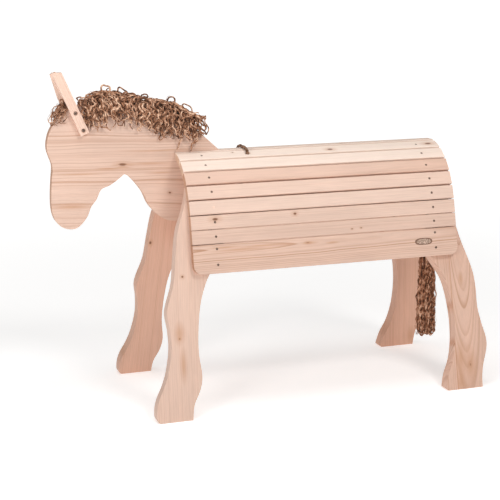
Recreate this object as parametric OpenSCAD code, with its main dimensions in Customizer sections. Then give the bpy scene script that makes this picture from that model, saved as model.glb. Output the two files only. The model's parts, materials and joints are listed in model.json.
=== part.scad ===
// Slatted wooden play horse: four sawn legs, a barrel of long slats over two
// bulkheads, a flat head board in the middle plane, rope mane, grip and tail.
// Millimetres. +X towards the head, +Y the horse's left, +Z up. The origin is
// on the floor under the middle of the overall length.

/* [Barrel] */
// Length of the slats
barrel_l = 800; // [640:10:960]
// Height of the back above the floor
back_h = 710; // [600:10:850]
// Width of one narrow slat
slat_w = 39; // [32:1:47]
// Thickness of the slats and the side boards
slat_t = 20; // [16:1:24]
// Gap between neighbouring slats at their inner edges
slat_gap = 1; // [0.6:0.2:2]
// Width of the ridge slat along the middle of the back
ridge_w = 41; // [38:1:50]
// Width of the side board below the narrow slats
side_board_w = 81; // [68:1:97]
// Lean of the side boards and the lowest slats from upright, degrees
side_lean = 12; // [8:1:15]
// Lean of the slats beside the ridge from upright, degrees
crown_lean = 69; // [62:1:74]
// How late the lean grows towards the ridge (1 is a round arch)
crown_ease = 1.4; // [1.2:0.1:1.6]
// Rounding of the slats' outer edges
slat_ease = 3; // [1:0.5:4]
// Corner radius at the lower ends of the side boards
board_corner_r = 24; // [10:1:30]

/* [Bulkheads and legs] */
// Thickness of the two bulkheads
bulkhead_t = 38; // [32:1:45]
// Bulkhead's middle, measured in from the slat ends
bulkhead_inset = 69; // [58:1:80]
// Thickness of the leg boards
leg_t = 38; // [32:1:45]
// Height of the bulkheads' lower edge over the side boards' lower edge
bulkhead_rise = 16; // [10:1:40]

/* [Head] */
// Thickness of the head board
head_t = 28; // [24:1:34]
// Length of an ear strip
ear_l = 191; // [160:1:229]
// Width of an ear strip
ear_w = 25; // [21:1:30]
// Thickness of an ear strip
ear_t = 14; // [12:1:18]
// Forward lean of the ears from upright, degrees
ear_lean = 23; // [15:1:30]
// How far the right ear sits ahead of and below the left one
ear_stagger = 7; // [0:1:10]

/* [Screws] */
// Head diameter of the slat screws
screw_head_d = 7; // [6:0.5:9]
// Shank diameter of the slat screws
screw_d = 4; // [3:0.5:5]
// Length of the slat screws
screw_l = 48; // [40:1:60]
// Diameter of the recesses over the ear screws
ear_recess_d = 12; // [10:0.5:14]
// Shank diameter of the leg screws
leg_screw_d = 6; // [5:0.5:8]
// Length of the leg screws
leg_screw_l = 76; // [65:1:85]

/* [Rope] */
// Thickness of the grip rope
grip_d = 9; // [7:0.5:11]
// Grip rope's distance behind the front ends of the slats
grip_inset = 205; // [170:5:400]
// Thickness of the tail's cord
tail_cord_d = 9; // [7:0.5:10]
// Height of the tail's hole over the side boards' lower edge
tail_rise = 140; // [125:1:150]
// Distance from the rear bulkhead to the middle of the tail
tail_reach = 46; // [44:1:52]
// Height of the tail's tip above the floor
tail_tip_z = 90; // [60:5:150]
// Radius of the tail at its tip
tail_tip_r = 33; // [25:1:36]

/* [Hidden] */
$fn = 48;

pine = "#e9c3a2";
pine_light = "#f4dcc4";
steel = "#8d8478";
rope_brown = "#8a5a36";

slats = 7;          // narrow slats on each side of the ridge
straight_slats = 2; // lowest slats that lean like the side board
clear = 0.3;        // clearance between wooden pieces
cord_clear = 0.5;   // clearance round a cord in its hole

// ---- Cross section of the barrel, drawn on the inner faces of the slats ----
// Piece 0 is the side board, pieces 1 to 7 are the narrow slats going up.
function lean(k) = side_lean + (crown_lean - side_lean)
    * pow(max(0, k - straight_slats) / (slats - straight_slats), crown_ease);
function piece_w(k) = (k == 0 ? side_board_w : slat_w) + slat_gap;
function corner(k) = k > slats
    ? [ridge_w / 2 + slat_gap / 2, back_h - slat_t]
    : corner(k + 1) + piece_w(k) * [sin(lean(k)), -cos(lean(k))];
corners = [for (k = [0 : slats + 1]) corner(k)];
board_z = corners[0][1];

// ---- Places along the length ----
head_reach = 361;      // muzzle ahead of the slats' front ends
rear_reach = 81;       // rear legs' furthest point behind the slats' rear ends
front_x = (barrel_l + rear_reach - head_reach) / 2;
rear_x = front_x - barrel_l;
front_bulk_x = front_x - bulkhead_inset;
rear_bulk_x = rear_x + bulkhead_inset;

// ---- Leg boards ----
leg_head_rows = 5;     // the legs reach up to this corner of the section
leg_top_z = corners[leg_head_rows][1] - clear;
leg_drop = 30;         // length of board that is sawn off level with the floor
head_back = 26;        // leg head's reach past the bulkhead's middle
toe_r = 10;            // rounding of the soles' front corners
// Outline points are [along, up]: along from the bulkhead's middle, up as seen
// on a horse whose side boards start 390 above the floor.
drawn_board_z = 390;
front_leg_fore = [[62, 640], [71, 600], [84, 561], [103, 511], [115, 440],
    [125, 372], [144, 318], [150, 288], [145, 246], [145, 194], [157, 136],
    [172, 97], [190, 63], [198, 33], [198, 0]];
front_leg_aft = [[98, 0], [91, 41], [72, 78], [63, 117], [68, 177], [65, 236],
    [55, 303], [39, 353], [20, 390], [-10, 425], [-head_back, 460]];
rear_leg_aft = [[-36, 640], [-58, 561], [-76, 481], [-91, 428], [-107, 384], [-122, 337],
    [-128, 290], [-129, 235], [-138, 188], [-150, 143], [-149, 110], [-137, 71],
    [-130, 38], [-128, 0]];
rear_leg_fore = [[-10, 0], [-20, 44], [-38, 85], [-48, 128], [-52, 172],
    [-50, 232], [-40, 294], [-26, 334], [-2, 371], [18, 408], [head_back, 450]];

// ---- Head board: [ahead of the slats' front ends, above the back] ----
drawn_back_h = 710;
neck_run = 132;        // neck board's length inside the ridge slat
neck_foot = 195;       // neck board's depth inside the barrel
neck_lap = 95;         // depth of the bulkhead's slot for the neck board
crest_line = [[-66, 61], [-20, 92], [50, 118], [130, 134], [210, 144],
    [280, 138], [325, 112], [350, 78], [360, 48], [361, 24], [355, 2],
    [348, -24], [353, -76], [355, -130], [350, -163], [338, -184], [322, -196],
    [303, -201], [285, -198], [268, -184], [254, -165], [244, -141],
    [228, -121], [214, -94], [190, -84], [168, -70], [147, -54]];
throat_line = [[147, -54], [131, -64], [110, -88], [94, -112], [82, -140],
    [68, -160], [48, -180], [24, -193], [0, -196]];

// ---- Ears ----
ear_foot = [256, 64];  // middle of the left ear's lower end
ear_screw_at = [12, 64]; // screws' distances up from the lower end
ear_screw_l = 24;
ear_screw_d = 4;
ear_screw_head_d = 9;
ear_screw_head_t = 2;
ear_recess = 4;
ear_taper = 9;         // taken off the right ear's front edge at its tip
ear_taper_l = 72;      // over this much of its length
ear_short = 4;         // the right ear is this much shorter

// ---- Screws ----
screw_head_t = 3;
screw_sink = 1;        // heads sit this far under the surface
board_screw_at = [24, 68]; // up the side board from its lower edge
leg_screw_head_d = 12;
leg_screw_head_t = 5;
leg_screw_off = 10;    // leg screws' offset from the bulkhead's middle
leg_screw_at = [46, 124]; // up the leg head from the side board's lower edge

// ---- Rope ----
grip_knot_r = grip_d * 1.05;
grip_ease = 4;         // depth of the hole's eased outer edge
grip_over = grip_d / 2 + 1; // rope's height over the slat beside its hole
grip_row = slats;      // the grip's holes are in the slats beside the ridge
loop_r = 16;           // tail cord's loop, to the middle of the cord
eye_cord_r = 6;        // strands of the hank where they pass the loop
eye_r = loop_r - 3;
hank_top_r = 17;
tail_x = rear_bulk_x - bulkhead_t / 2 - tail_reach;
tail_hole_z = board_z + tail_rise;
loop_drop = 2;         // the loop sags this much under the hole
loop_z = tail_hole_z - loop_r - loop_drop;
// The strands' fold rests on the loop, clear of it all round.
fold_z = loop_z - loop_r + tail_cord_d / 2 + eye_cord_r + clear;
eye_z = fold_z - eye_r;
hank_top_z = eye_z - eye_r;

// ---- Mane: [ahead of the slats' front ends, above the back] ----
mane_half_w = 32;
mane_outline = [[240, 152], [200, 184], [150, 188], [100, 166], [60, 152],
    [0, 140], [-50, 104], [-96, 74], [-84, 44], [-30, 42], [30, 44], [80, 62],
    [130, 88], [190, 78], [232, 78]];
forelock_outline = [[236, 130], [240, 168], [280, 170], [322, 148], [352, 124],
    [348, 106], [320, 104], [280, 124]];

// ---- Functions and shared shapes ----
// Smooth line through the points p, n steps to each span.
function catmull(a, b, c, d, t) = 0.5 * (2 * b + (c - a) * t
    + (2 * a - 5 * b + 4 * c - d) * t * t + (3 * b - a - 3 * c + d) * t * t * t);
function smooth_line(p, n = 4) = let (m = len(p) - 1) concat(
    [for (i = [0 : m - 1]) for (j = [0 : n - 1])
        catmull(p[max(0, i - 1)], p[i], p[i + 1], p[min(m, i + 2)], j / n)],
    [p[m]]);
function smooth_loop(p, n = 4) = let (m = len(p))
    [for (i = [0 : m - 1]) for (j = [0 : n - 1])
        catmull(p[(i + m - 1) % m], p[i], p[(i + 1) % m], p[(i + 2) % m], j / n)];
function arc(c, r, from, to, n = 5) =
    [for (i = [0 : n]) c + r * [cos(from + (to - from) * i / n),
        sin(from + (to - from) * i / n)]];
function mirrored(p) = [for (i = [len(p) - 1 : -1 : 0]) [-p[i][0], p[i][1]]];
function head_point(p) = [front_x + p[0], back_h + p[1]];

// Draws on the (Y, Z) plane and runs the shape from x along +X.
module along_x(x, l) {
    translate([x, 0, 0]) rotate([90, 0, 90]) linear_extrude(l) children();
}
// Draws on the (X, Z) plane, t thick, about the middle plane y.
module upright_board(y, t) {
    translate([0, y + t / 2, 0]) rotate([90, 0, 0]) linear_extrude(t) children();
}
// Local frame of barrel piece k on the left: Y outward, Z up along the section.
module at_piece(k) {
    translate([0, corners[k][0], corners[k][1]]) rotate([lean(k), 0, 0]) children();
}
module on_side(left) {
    if (left) children();
    else mirror([0, 1, 0]) children();
}
// Inside of the barrel in the (Y, Z) plane, grown outward at the foot by drop.
module section_inside(drop = 0) {
    foot = corners[0] + drop * [sin(side_lean), -cos(side_lean)];
    half = concat([foot], [for (k = [1 : slats + 1]) corners[k]]);
    polygon(concat(half, mirrored(half)));
}
// A screw with its head at the origin's level, running along -Y.
module screw(head_d, head_t, d, l) {
    rotate([90, 0, 0]) {
        cylinder(d = head_d, h = head_t);
        cylinder(d = d, h = l);
    }
}
// The hole for it: the head's pocket up to the surface and the shank's hole.
module screw_hole(head_d, head_t, d, l, sink) {
    rotate([90, 0, 0]) {
        translate([0, 0, -sink - 1]) cylinder(d = head_d, h = head_t + sink + 1);
        cylinder(d = d, h = l);
    }
}
module slat_screw_places(k, x) {
    at_piece(k) translate([x, slat_t - screw_sink, piece_w(k) / 2]) children();
}
module board_screw_places(x) {
    for (up = board_screw_at)
        at_piece(0) translate([x, slat_t - screw_sink, up]) children();
}
module leg_screw_places(x) {
    for (i = [0, 1])
        at_piece(0) translate([x + (i == 0 ? -1 : 1) * leg_screw_off, -screw_sink,
            leg_screw_at[i]]) children();
}
module ridge_screw_place(x) {
    translate([x, 0, back_h - screw_sink]) rotate([90, 0, 0]) children();
}
module slat_screw() {
    screw(screw_head_d, screw_head_t, screw_d, screw_l);
}
module slat_screw_hole() {
    screw_hole(screw_head_d, screw_head_t, screw_d, screw_l, screw_sink);
}
module leg_screw() {
    screw(leg_screw_head_d, leg_screw_head_t, leg_screw_d, leg_screw_l);
}
module leg_screw_hole() {
    screw_hole(leg_screw_head_d, leg_screw_head_t, leg_screw_d, leg_screw_l,
        screw_sink);
}

// ---- Barrel ----
// Outer edges eased, inner edges square; w up the section, slat_t outward.
function slat_section(w) = let (r = slat_ease) concat([[0, w], [0, 0]],
    arc([slat_t - r, r], r, -90, 0), arc([slat_t - r, w - r], r, 0, 90));

module slat(k, left) {
    color(k > 4 ? pine_light : pine) on_side(left) difference() {
        at_piece(k) translate([0, 0, slat_gap / 2])
            along_x(rear_x, barrel_l) polygon(slat_section(slat_w));
        for (x = [front_bulk_x, rear_bulk_x]) slat_screw_places(k, x) slat_screw_hole();
        if (k == grip_row) grip_hole();
    }
}
module side_board(left) {
    r = board_corner_r;
    color(pine) on_side(left) difference() {
        at_piece(0) intersection() {
            along_x(rear_x, barrel_l) polygon(slat_section(side_board_w));
            translate([0, slat_t + 1, 0]) rotate([90, 0, 0])
                linear_extrude(slat_t + 2) polygon(concat(
                    [[front_x, side_board_w], [rear_x, side_board_w]],
                    arc([rear_x + r, r], r, 180, 270), arc([front_x - r, r], r, 270, 360)));
        }
        for (x = [front_bulk_x, rear_bulk_x]) board_screw_places(x) slat_screw_hole();
    }
}
module ridge_slat() {
    r = slat_ease;
    h = ridge_w / 2;
    color(pine_light) difference() {
        along_x(rear_x, barrel_l) translate([0, back_h - slat_t]) polygon(concat(
            [[-h, 0], [h, 0]], arc([h - r, slat_t - r], r, 0, 90),
            arc([r - h, slat_t - r], r, 90, 180)));
        translate([front_x - neck_run - clear, -head_t / 2 - clear, back_h - slat_t - 1])
            cube([neck_run + clear + 1, head_t + 2 * clear, slat_t + 2]);
        ridge_screw_place(rear_bulk_x) slat_screw_hole();
    }
}

// ---- Bulkheads ----
module bulkhead(x) {
    bottom = board_z + bulkhead_rise;
    difference() {
        along_x(x - bulkhead_t / 2, bulkhead_t) section_inside();
        translate([x - bulkhead_t, -500, bottom - 500]) cube([2 * bulkhead_t, 1000, 500]);
        for (left = [true, false]) on_side(left) {
            leg_slot(x);
            for (k = [1 : slats]) slat_screw_places(k, x) slat_screw_hole();
            leg_screw_places(x) leg_screw_hole();
        }
    }
}
// Room for the leg's head beside the bulkhead, up to the leg's top.
module leg_slot(x) {
    intersection() {
        at_piece(0) translate([x - bulkhead_t, -leg_t, -100]) cube([2 * bulkhead_t, 200, 500]);
        translate([x - bulkhead_t, 0, 0]) cube([2 * bulkhead_t, 500, leg_top_z + clear]);
    }
}
module front_bulkhead() {
    color(pine) difference() {
        bulkhead(front_bulk_x);
        translate([front_bulk_x - bulkhead_t, -head_t / 2 - clear, back_h - slat_t - neck_lap])
            cube([2 * bulkhead_t, head_t + 2 * clear, neck_lap + 1]);
    }
}
module rear_bulkhead() {
    color(pine) difference() {
        bulkhead(rear_bulk_x);
        ridge_screw_place(rear_bulk_x) slat_screw_hole();
        translate([rear_bulk_x - bulkhead_t, 0, tail_hole_z]) rotate([0, 90, 0])
            cylinder(d = tail_cord_d + 2 * cord_clear, h = 2 * bulkhead_t);
    }
}

// ---- Legs ----
module leg(x, fore, aft, left) {
    on_side(left) color(pine) difference() {
        intersection() {
            leg_sheet(x, fore, aft);
            along_x(x - 400, 800) section_inside(600);
            translate([x - 400, 0, 0]) cube([800, 600, leg_top_z]);
        }
        for (k = [1 : leg_head_rows - 1]) slat_screw_places(k, x) slat_screw_hole();
        board_screw_places(x) slat_screw_hole();
        leg_screw_places(x) leg_screw_hole();
        upright_board(0, 1000) toe_waste(x + max(fore[len(fore) - 1][0], aft[0][0]));
    }
}
// What is rounded off the sole's front corner, which is at x.
module toe_waste(x) {
    translate([x - toe_r, 0]) difference() {
        translate([0, -1]) square(toe_r + 1);
        translate([0, toe_r]) circle(toe_r);
    }
}
// Height of a drawn outline point: legs grow below the barrel, not beside it.
function leg_up(z) = z < drawn_board_z ? z * board_z / drawn_board_z
    : z + board_z - drawn_board_z;
// The board before its top and foot are sawn, leaning against the side board.
// One edge runs down from the top, the other back up to it.
module leg_sheet(x, down, up) {
    c = cos(side_lean);
    place = [0, corners[0][0], board_z];
    top = leg_top_z + leg_drop + drawn_board_z - board_z;
    edge = concat([[down[0][0], top]], smooth_line(down), [[down[len(down) - 1][0],
        -leg_drop], [up[0][0], -leg_drop]], smooth_line(up), [[up[len(up) - 1][0], top]]);
    translate(place) rotate([side_lean, 0, 0]) rotate([90, 0, 0]) linear_extrude(leg_t)
        polygon([for (p = edge) [x + p[0], (leg_up(p[1]) - board_z) / c]]);
}

// ---- Head ----
module head_outline() {
    inside = [[0, -neck_foot], [-neck_run, -neck_foot], [-neck_run, 0]];
    polygon([for (p = concat(smooth_line(crest_line), smooth_line(throat_line), inside))
        head_point(p)]);
}
module head_board() {
    color(pine) difference() {
        upright_board(0, head_t) head_outline();
        translate([front_bulk_x - bulkhead_t / 2 - clear, -head_t,
            back_h - slat_t - neck_foot - 100])
            cube([bulkhead_t + 2 * clear, 2 * head_t, neck_foot + 100 - neck_lap]);
        for (left = [true, false]) ear_screw_places(left)
            rotate([90, 0, 0]) cylinder(d = ear_screw_d, h = ear_screw_l);
    }
}
// Local frame of an ear: Z up the strip, Y outward from the head's face.
module at_ear(left) {
    step = left ? [0, 0] : ear_stagger * [1, -1];
    foot = head_point(ear_foot + step);
    on_side(left) translate([foot[0], head_t / 2, foot[1]]) rotate([0, ear_lean, 0])
        children();
}
module ear_screw_places(left) {
    for (up = ear_screw_at)
        at_ear(left) translate([0, ear_t - ear_recess, up]) children();
}
// The left ear ends in a level cut, the right one in a front edge planed back.
module ear(left) {
    front = ear_w / 2;
    level = ear_l - ear_w * tan(ear_lean);
    tip = left ? [[front, ear_l], [-front, level]]
        : [[front, ear_l - ear_taper_l], [front - ear_taper, ear_l - ear_short],
            [-front, ear_l - ear_short]];
    color(pine) difference() {
        at_ear(left) translate([0, ear_t, 0]) rotate([90, 0, 0]) linear_extrude(ear_t)
            polygon(concat([[-front, 0], [front, 0]], tip));
        ear_screw_places(left)
            screw_hole(ear_recess_d, 0, ear_screw_d, ear_screw_l, ear_recess);
    }
}
module ear_screws() {
    color(steel) for (left = [true, false]) ear_screw_places(left)
        translate([0, ear_screw_head_t, 0]) screw(ear_screw_head_d, ear_screw_head_t,
            ear_screw_d, ear_screw_l + ear_screw_head_t);
}

// ---- Fasteners ----
module slat_screws(x, ridge) {
    color(steel) {
        for (left = [true, false], k = [1 : slats])
            on_side(left) slat_screw_places(k, x) slat_screw();
        if (ridge) ridge_screw_place(x) slat_screw();
    }
}
module side_board_screws() {
    color(steel) for (left = [true, false], x = [front_bulk_x, rear_bulk_x])
        on_side(left) board_screw_places(x) slat_screw();
}
module leg_screws() {
    color(steel) for (left = [true, false], x = [front_bulk_x, rear_bulk_x])
        on_side(left) leg_screw_places(x) leg_screw();
}

// ---- Grip rope over the ridge ----
grip_x = front_x - grip_inset;
// A point on the grip hole's axis, out past the slat's inner face by this much.
function grip_point(out) = let (a = lean(grip_row), mid = corners[grip_row]
    + piece_w(grip_row) / 2 * [-sin(a), cos(a)]) mid + out * [cos(a), sin(a)];
// A point over the slat, this much nearer the ridge than the hole.
function grip_beside(along) = let (a = lean(grip_row))
    grip_point(slat_t + grip_over) + along * [-sin(a), cos(a)];
module grip_hole() {
    r = grip_d / 2 + cord_clear;
    at_piece(grip_row) translate([grip_x, -1, piece_w(grip_row) / 2]) rotate([-90, 0, 0]) {
        cylinder(r = r, h = slat_t + 2);
        translate([0, 0, slat_t + 1 - grip_ease]) cylinder(r1 = r, r2 = r + 2 * grip_ease,
            h = 2 * grip_ease);
    }
}
module grip_rope() {
    top_z = back_h + grip_d / 2 + clear;
    half = [grip_point(-grip_knot_r), grip_point(slat_t * 0.4), grip_point(slat_t - 1),
        grip_beside(4), grip_beside(13), [ridge_w / 2 - 2, top_z + 1], [ridge_w / 6, top_z]];
    route = smooth_line(concat(half, mirrored(half)), 4);
    color(rope_brown) {
        tube([for (p = route) [grip_x, p[0], p[1]]], grip_d / 2);
        for (side = [-1, 1]) translate([grip_x, side * grip_point(-grip_knot_r - clear)[0],
            grip_point(-grip_knot_r - clear)[1]]) sphere(r = grip_knot_r, $fn = 24);
    }
}
// A round tube along the points p, which all lie across the X axis.
module tube(p, r, sides = 12) {
    n = len(p);
    function dir(i) = let (d = p[min(n - 1, i + 1)] - p[max(0, i - 1)]) d / norm(d);
    ring = [for (i = [0 : n - 1]) for (j = [0 : sides - 1])
        let (u = [1, 0, 0], v = cross(dir(i), u), a = 360 * j / sides)
            p[i] + r * (cos(a) * u + sin(a) * v)];
    walls = [for (i = [0 : n - 2]) for (j = [0 : sides - 1])
        let (k = (j + 1) % sides) [i * sides + k, i * sides + j,
            (i + 1) * sides + j, (i + 1) * sides + k]];
    caps = [[for (j = [0 : sides - 1]) j],
        [for (j = [sides - 1 : -1 : 0]) (n - 1) * sides + j]];
    polyhedron(points = ring, faces = concat(walls, caps));
}

// ---- Mane: a plain solid draped over the crest, clear of board and ears ----
module mane() {
    color(rope_brown) difference() {
        union() {
            upright_board(0, 2 * mane_half_w)
                polygon([for (p = smooth_loop(mane_outline)) head_point(p)]);
            upright_board(0, head_t - 4)
                polygon([for (p = smooth_loop(forelock_outline)) head_point(p)]);
        }
        upright_board(0, head_t + 2 * clear) offset(delta = clear) head_outline();
        for (left = [true, false]) at_ear(left)
            translate([-ear_w / 2 - 1, -1, -1]) cube([ear_w + 2, mane_half_w, ear_l]);
    }
}

// ---- Tail ----
module tail_cord() {
    r = tail_cord_d / 2;
    knot_r = tail_cord_d * 1.1;
    knot_x = rear_bulk_x + bulkhead_t / 2 + knot_r + clear;
    color(rope_brown) {
        translate([knot_x, 0, tail_hole_z]) sphere(r = knot_r);
        translate([tail_x, 0, tail_hole_z]) rotate([0, 90, 0])
            cylinder(r = r, h = knot_x - tail_x);
        translate([tail_x, 0, loop_z]) rotate([90, 0, 0]) rotate_extrude()
            translate([loop_r, 0]) circle(r = r);
    }
}
module tail_hank() {
    color(rope_brown) translate([tail_x, 0, 0]) {
        translate([0, 0, eye_z]) rotate([0, 90, 0]) rotate_extrude()
            translate([eye_r, 0]) circle(r = eye_cord_r);
        translate([0, 0, tail_tip_z])
            cylinder(r1 = tail_tip_r, r2 = hank_top_r, h = hank_top_z - tail_tip_z);
    }
}

head_board();
ear(true);  // ear_left
ear(false);  // ear_right
ear_screws();
front_bulkhead();
rear_bulkhead();
leg(front_bulk_x, front_leg_fore, front_leg_aft, true);  // front_leg_left
leg(front_bulk_x, front_leg_fore, front_leg_aft, false);  // front_leg_right
leg(rear_bulk_x, rear_leg_aft, rear_leg_fore, true);  // rear_leg_left
leg(rear_bulk_x, rear_leg_aft, rear_leg_fore, false);  // rear_leg_right
side_board(true);  // side_board_left
side_board(false);  // side_board_right
ridge_slat();
for (k = [1 : slats]) {
    slat(k, true);
    slat(k, false);
}
slat_screws(front_bulk_x, false);  // slat_screws_front
slat_screws(rear_bulk_x, true);  // slat_screws_rear
side_board_screws();
leg_screws();
grip_rope();
mane();
tail_cord();
tail_hank();
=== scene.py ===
import json
import math
import random

import bmesh
import bpy
from mathutils import Matrix, Vector


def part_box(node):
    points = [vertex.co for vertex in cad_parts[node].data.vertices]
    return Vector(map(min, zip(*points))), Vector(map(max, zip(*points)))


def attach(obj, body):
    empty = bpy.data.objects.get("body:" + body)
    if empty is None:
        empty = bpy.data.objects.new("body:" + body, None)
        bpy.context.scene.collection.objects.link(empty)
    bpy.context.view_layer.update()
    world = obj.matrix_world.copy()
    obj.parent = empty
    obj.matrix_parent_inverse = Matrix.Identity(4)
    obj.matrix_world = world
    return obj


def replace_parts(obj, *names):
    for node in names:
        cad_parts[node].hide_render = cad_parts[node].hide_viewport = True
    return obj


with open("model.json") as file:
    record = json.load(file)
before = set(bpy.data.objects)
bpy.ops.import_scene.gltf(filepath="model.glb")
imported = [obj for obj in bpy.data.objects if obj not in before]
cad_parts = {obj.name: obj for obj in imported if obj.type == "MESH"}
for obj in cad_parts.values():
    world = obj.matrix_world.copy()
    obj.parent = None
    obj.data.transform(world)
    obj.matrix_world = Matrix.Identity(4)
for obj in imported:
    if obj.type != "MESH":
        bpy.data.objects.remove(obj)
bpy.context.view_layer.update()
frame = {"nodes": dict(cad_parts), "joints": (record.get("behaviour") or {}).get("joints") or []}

# ----------------------------------------
# Camera, light and floor. A long lens ahead of and above the horse's left
# side; one big soft lamp high over the barrel and two more over the back and
# before the chest. The floor glows a little more far away, like a paper sweep.
CAMERA_AT = Vector((1.2036, 3.5982, 1.2093))
CAMERA_PAN = 0.31405
CAMERA_TILT = 0.20861
CAMERA_ROLL = -0.00964
CAMERA_LENS_MM = 94.9

back = Vector((math.sin(CAMERA_PAN) * math.cos(CAMERA_TILT),
               math.cos(CAMERA_PAN) * math.cos(CAMERA_TILT), math.sin(CAMERA_TILT)))
right = (-back).cross(Vector((0, 0, 1))).normalized()
up = right.cross(-back)
right, up = (math.cos(CAMERA_ROLL) * right + math.sin(CAMERA_ROLL) * up,
             math.cos(CAMERA_ROLL) * up - math.sin(CAMERA_ROLL) * right)


def shown(name, data):
    """A new object of the scene."""
    made = bpy.data.objects.new(name, data)
    bpy.context.scene.collection.objects.link(made)
    return made


camera = shown("camera", bpy.data.cameras.new("camera"))
camera.data.sensor_width = 36
camera.data.lens = CAMERA_LENS_MM
camera.data.clip_end = 400
camera.matrix_world = Matrix((right, up, back)).transposed().to_4x4()
camera.location = CAMERA_AT
bpy.context.scene.camera = camera
bpy.context.scene.view_settings.view_transform = "Standard"


def soft_lamp(name, at, aim, size, power, tint):
    """A round area lamp, turned to shine at a point."""
    lamp = shown(name, bpy.data.lights.new(name, "AREA"))
    lamp.data.shape = "DISK"
    lamp.data.size = size
    lamp.data.energy = power
    lamp.data.color = tint
    lamp.location = at
    lamp.rotation_euler = (Vector(aim) - Vector(at)).to_track_quat("-Z", "Y").to_euler()


soft_lamp("key_lamp", (-0.7, 2.5, 2.8), (0, 0, 0.5), 0.9, 37, (1, 0.98, 0.96))
soft_lamp("top_lamp", (0.3, 0.3, 3.2), (0.1, 0, 0.6), 1.5, 29, (1, 0.99, 0.98))
soft_lamp("chest_lamp", (2.2, 2.0, 1.3), (0.3, 0, 0.5), 1.0, 20, (1, 0.98, 0.96))

class Tree:
    """A node tree under construction: makes nodes and links them in one call."""

    def __init__(self, tree):
        self.tree = tree

    def feed(self, node, inputs):
        """Links a node's inputs to sockets, or sets them to plain values."""
        for key, value in inputs.items():
            if isinstance(value, bpy.types.NodeSocket):
                self.tree.links.new(value, node.inputs[key])
            else:
                node.inputs[key].default_value = value

    def add(self, kind, out=0, inputs=None, **settings):
        made = self.tree.nodes.new(kind)
        for key, value in settings.items():
            setattr(made, key, value)
        self.feed(made, inputs or {})
        return made if out is None else made.outputs[out]

    def math(self, operation, *inputs, clamp=False):
        return self.add("ShaderNodeMath", 0, dict(enumerate(inputs)), operation=operation,
                        use_clamp=clamp)

    def times(self, a, b, *plus, clamp=False):
        """a times b, plus a third value if one is given."""
        return self.math("MULTIPLY_ADD" if plus else "MULTIPLY", a, b, *plus, clamp=clamp)

    def vector(self, operation, *inputs, scale=None, out=0):
        inputs = dict(enumerate(inputs)) | ({} if scale is None else {"Scale": scale})
        return self.add("ShaderNodeVectorMath", out, inputs, operation=operation)

    def combine(self, x, y, z=0.0):
        return self.add("ShaderNodeCombineXYZ", 0, {0: x, 1: y, 2: z})

    def graded(self, value, low, high, start, end):
        """The value taken from low..high to start..end, and held beyond them."""
        return self.add("ShaderNodeMapRange", 0, {0: value, 1: low, 2: high, 3: start, 4: end})

    def noise(self, at, scale, detail, roughness=0.5, out="Fac"):
        return self.add("ShaderNodeTexNoise", out, {
            "Vector": at, "Scale": scale, "Detail": detail, "Roughness": roughness})

    def bump(self, height, strength, distance):
        return self.add("ShaderNodeBump", 0, {
            "Height": height, "Strength": strength, "Distance": distance})

    def ramp(self, factor, *stops, easing="LINEAR"):
        """A colour ramp through stops of a place and a colour, in their order."""
        made = self.add("ShaderNodeValToRGB", None, {"Fac": factor})
        made.color_ramp.interpolation = easing
        dots = made.color_ramp.elements
        dots[0].position, dots[1].position = stops[0][0], stops[-1][0]
        for place, _ in stops[1:-1]:
            dots.new(place)
        for dot, (_, colour) in zip(dots, stops):
            dot.color = (*colour, 1)
        return made.outputs[0]


def new_material(name):
    """A new material, its tree and its shader."""
    material = bpy.data.materials.new(name)
    material.use_nodes = True
    return material, Tree(material.node_tree), material.node_tree.nodes["Principled BSDF"]


room = bpy.data.worlds.new("room")
bpy.context.scene.world = room
room.use_nodes = True
air = Tree(room.node_tree)
# The room is seen as white paper but gives only a weak fill.
ROOM_FILL = 0.22
seen = air.add("ShaderNodeLightPath", "Is Camera Ray")
air.feed(room.node_tree.nodes["Background"], {
    "Color": (1, 0.985, 0.97, 1),
    "Strength": air.times(seen, 1.0 - ROOM_FILL, ROOM_FILL)})

FLOOR_HALF = 90
NEAR_GLOW, FAR_GLOW = 0.50, 0.92
NEAR_M, FAR_M = 1.0, 4.2
floor_mesh = bpy.data.meshes.new("floor")
floor_mesh.from_pydata([(-FLOOR_HALF, -FLOOR_HALF, 0), (FLOOR_HALF, -FLOOR_HALF, 0),
                        (FLOOR_HALF, FLOOR_HALF, 0), (-FLOOR_HALF, FLOOR_HALF, 0)],
                       [], [(0, 1, 2, 3)])
floor = shown("floor", floor_mesh)
paper, sheet, paper_shader = new_material("pale_floor")
floor_away = sheet.vector("LENGTH", sheet.add("ShaderNodeTexCoord", "Object"), out="Value")
sheet.feed(paper_shader, {
    "Base Color": (0.8, 0.8, 0.8, 1), "Roughness": 0.9, "Specular IOR Level": 0.1,
    "Emission Color": (1, 1, 1, 1),
    "Emission Strength": sheet.graded(floor_away, NEAR_M, FAR_M, NEAR_GLOW, FAR_GLOW)})
floor_mesh.materials.append(paper)

# ----------------------------------------
# Grip rope. A short length of three-strand brown rope pulled tight over the
# ridge behind the neck, through one hole in the slat on each side, with a
# stopper knot inside each slat.


def shape_tree(name, sizes):
    """A Geometry Nodes tree with a geometry input, named sizes and a finish."""
    tree = bpy.data.node_groups.new(name, "GeometryNodeTree")
    face = tree.interface
    face.new_socket("Geometry", in_out="INPUT", socket_type="NodeSocketGeometry")
    face.new_socket("Geometry", in_out="OUTPUT", socket_type="NodeSocketGeometry")
    for key, value in sizes.items():
        kind = "NodeSocketInt" if isinstance(value, int) else "NodeSocketFloat"
        face.new_socket(key, in_out="INPUT", socket_type=kind).default_value = value
    face.new_socket("Finish", in_out="INPUT", socket_type="NodeSocketMaterial")
    start = tree.nodes.new("NodeGroupInput")
    return Tree(tree), start.outputs


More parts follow.
